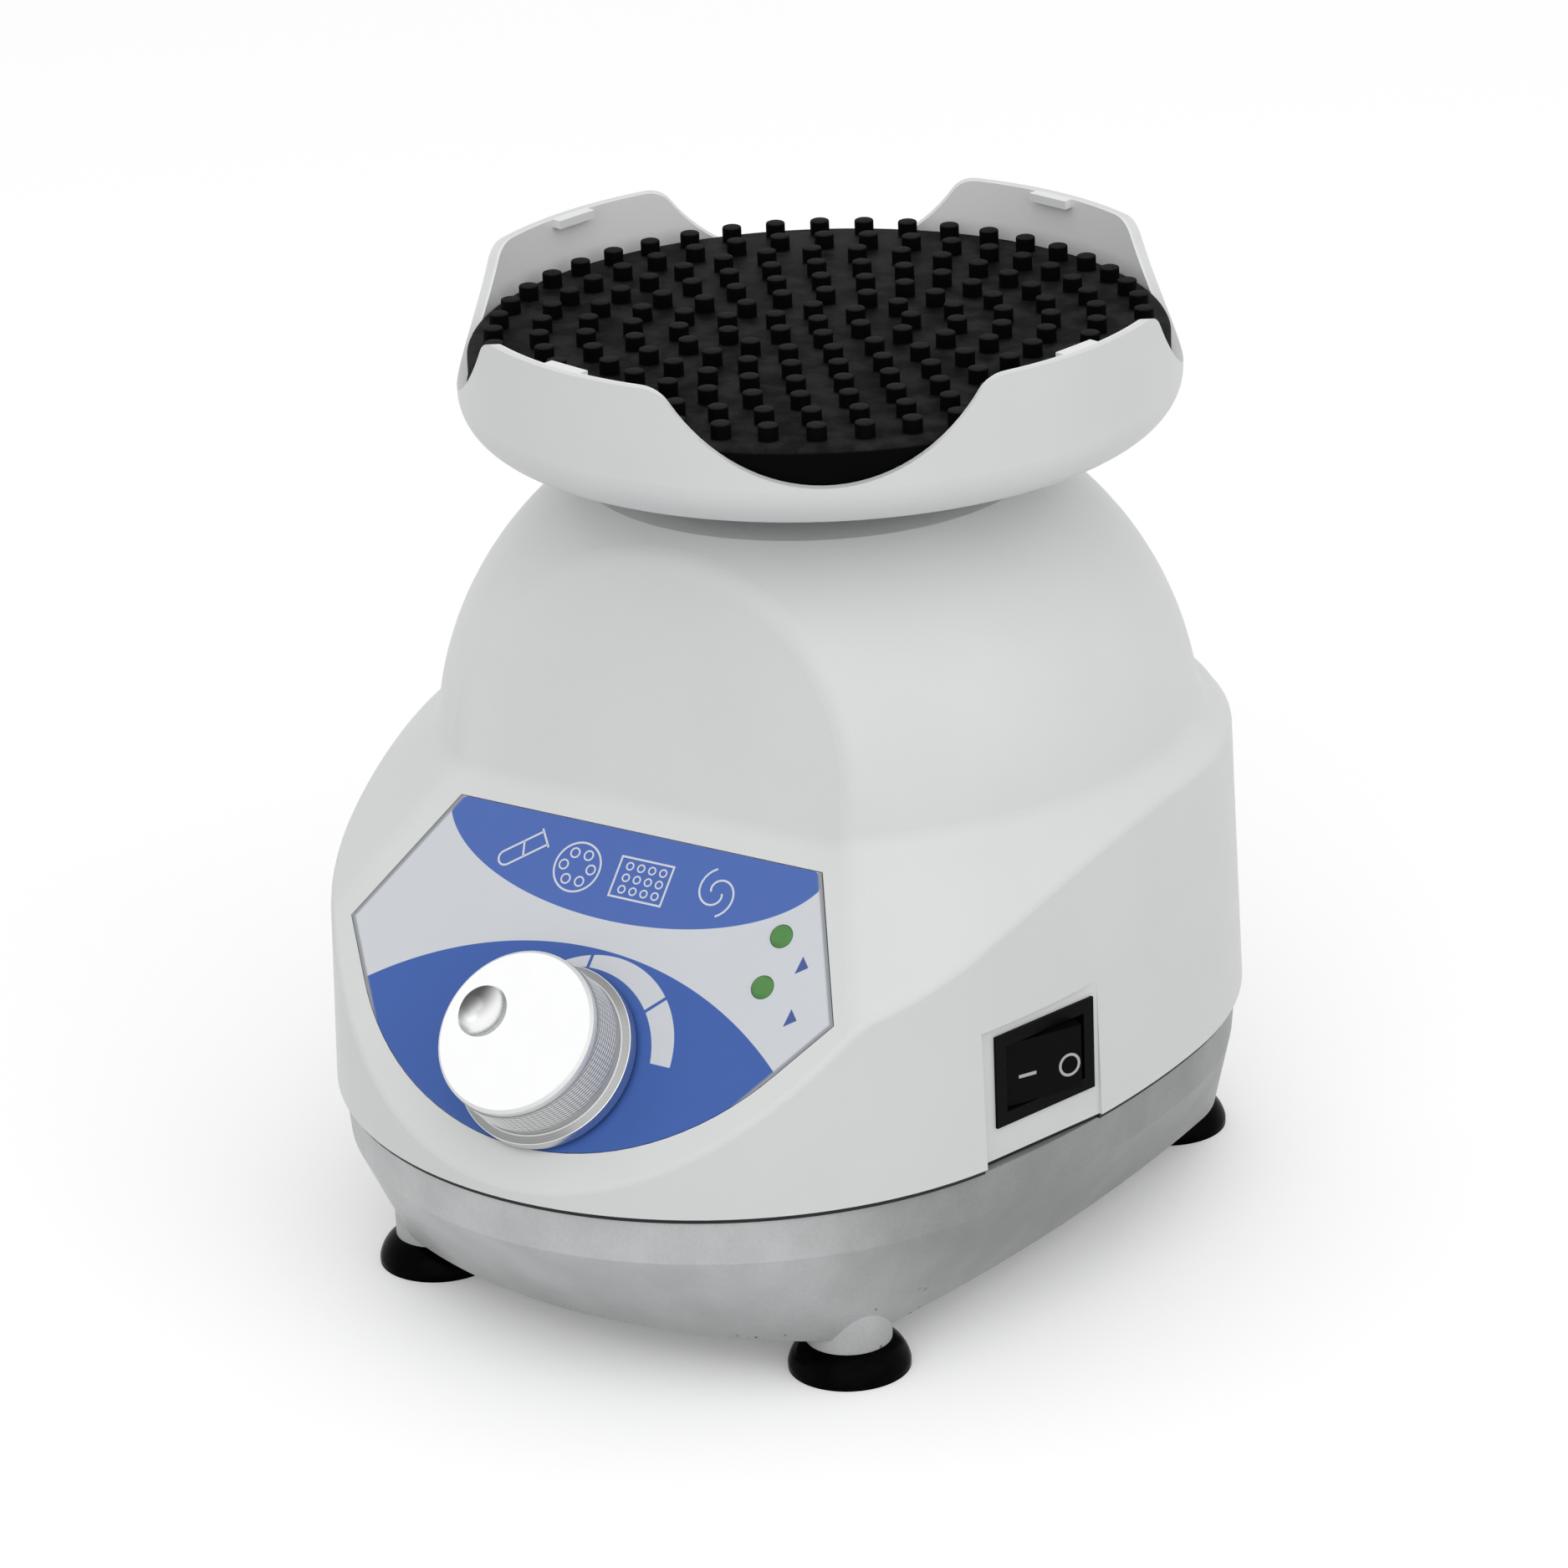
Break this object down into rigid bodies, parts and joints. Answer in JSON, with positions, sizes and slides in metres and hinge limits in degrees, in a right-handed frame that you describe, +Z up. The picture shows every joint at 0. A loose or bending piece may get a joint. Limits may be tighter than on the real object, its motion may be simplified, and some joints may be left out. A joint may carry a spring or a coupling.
{
  "type": "vortex mixer",
  "caption": "Bench vortex mixer: cupped orbital head with a nubbed rubber mat on a domed housing, sloped panel with speed knob, rocker switch, cast base on suction feet.",
  "frame": {"origin": "on the bench, under the middle of the whole mixer's plan box", "axes": "+Z up, the control panel faces -Y, the rocker switch is on the +X side"},
  "size_m": [0.1364, 0.1695, 0.1586],
  "materials": {
    "casting": "fine-textured silver paint on a casting",
    "housing": "off-white moulded plastic",
    "tray": "off-white moulded plastic",
    "mat": "matte black rubber",
    "cup": "glossy black rubber",
    "gasket": "dark grey rubber",
    "film": "printed film, pale grey with plain blue fields",
    "lamp": "green lens",
    "board": "circuit board",
    "knob": "bright turned aluminium with a knurled band",
    "black_plastic": "black moulded plastic",
    "steel": "plain steel",
    "zinc": "zinc plated",
    "brass": "plain brass",
    "motor_shell": "dark painted steel",
    "plate": "sheet aluminium"
  },
  "bodies": {
    "base": {"base_casting": "casting", "suction_foot_front_left": "cup", "suction_foot_front_right": "cup", "suction_foot_rear_left": "cup", "suction_foot_rear_right": "cup", "foot_screws": "zinc", "seam_gasket": "gasket", "upper_housing": "housing", "housing_screws": "zinc", "panel_overlay": "film", "led_continuous": "lamp", "led_touch": "lamp", "control_board": "board", "potentiometer": "black_plastic", "potentiometer_nut": "zinc", "switch_bezel": "black_plastic", "power_inlet": "black_plastic", "inlet_pins": "brass", "guide_posts": "steel", "stop_nuts": "zinc", "touch_springs": "steel", "touch_switch": "black_plastic", "neck_seal": "gasket"},
    "carriage": {"motor_plate": "plate", "guide_bushes": "brass", "motor_can": "motor_shell", "motor_stator": "steel", "lower_bearing": "steel", "upper_bearing": "steel", "motor_screws": "zinc"},
    "rotor": {"motor_shaft": "steel", "motor_rotor": "steel", "crank": "plate", "crank_set_screw": "steel", "counterweight": "steel", "crank_screw": "zinc"},
    "head": {"head_bearing": "steel", "bearing_circlip": "steel", "head_hub": "plate", "tray": "tray", "tray_screws": "zinc", "rubber_mat": "mat"},
    "knob": {"speed_knob": "knob", "knob_set_screw": "steel", "potentiometer_shaft": "steel"},
    "rocker": {"switch_rocker": "black_plastic"}
  },
  "joints": [
    {"name": "touch_press", "type": "slide", "parent": "base", "child": "carriage", "axis": [0, 0, -1], "range_m": [0, 0.002], "stiffness_N_per_m": 3000, "springref_m": -0.009, "deforming": ["touch_springs"]},
    {"name": "drive_spin", "type": "hinge", "parent": "carriage", "child": "rotor", "pos_m": [0, 0.0144, 0.0805], "axis": [0, 0, 1], "continuous": true},
    {"name": "head_orbit", "type": "hinge", "parent": "rotor", "child": "head", "pos_m": [0.00184, 0.01561, 0.1225], "axis": [0, 0, 1], "continuous": true},
    {"name": "knob_turn", "type": "hinge", "parent": "base", "child": "knob", "pos_m": [0, -0.0659, 0.05296], "axis": [0, 0.7337, -0.6794], "range_deg": [0, 155]},
    {"name": "switch_tip", "type": "hinge", "parent": "base", "child": "rocker", "pos_m": [0.05933, -0.0201, 0.0483], "axis": [0, 0, 1], "range_deg": [0, 26]}
  ],
  "couplings": [
    {"joint": "head_orbit", "follows": "drive_spin", "ratio": -1}
  ]
}
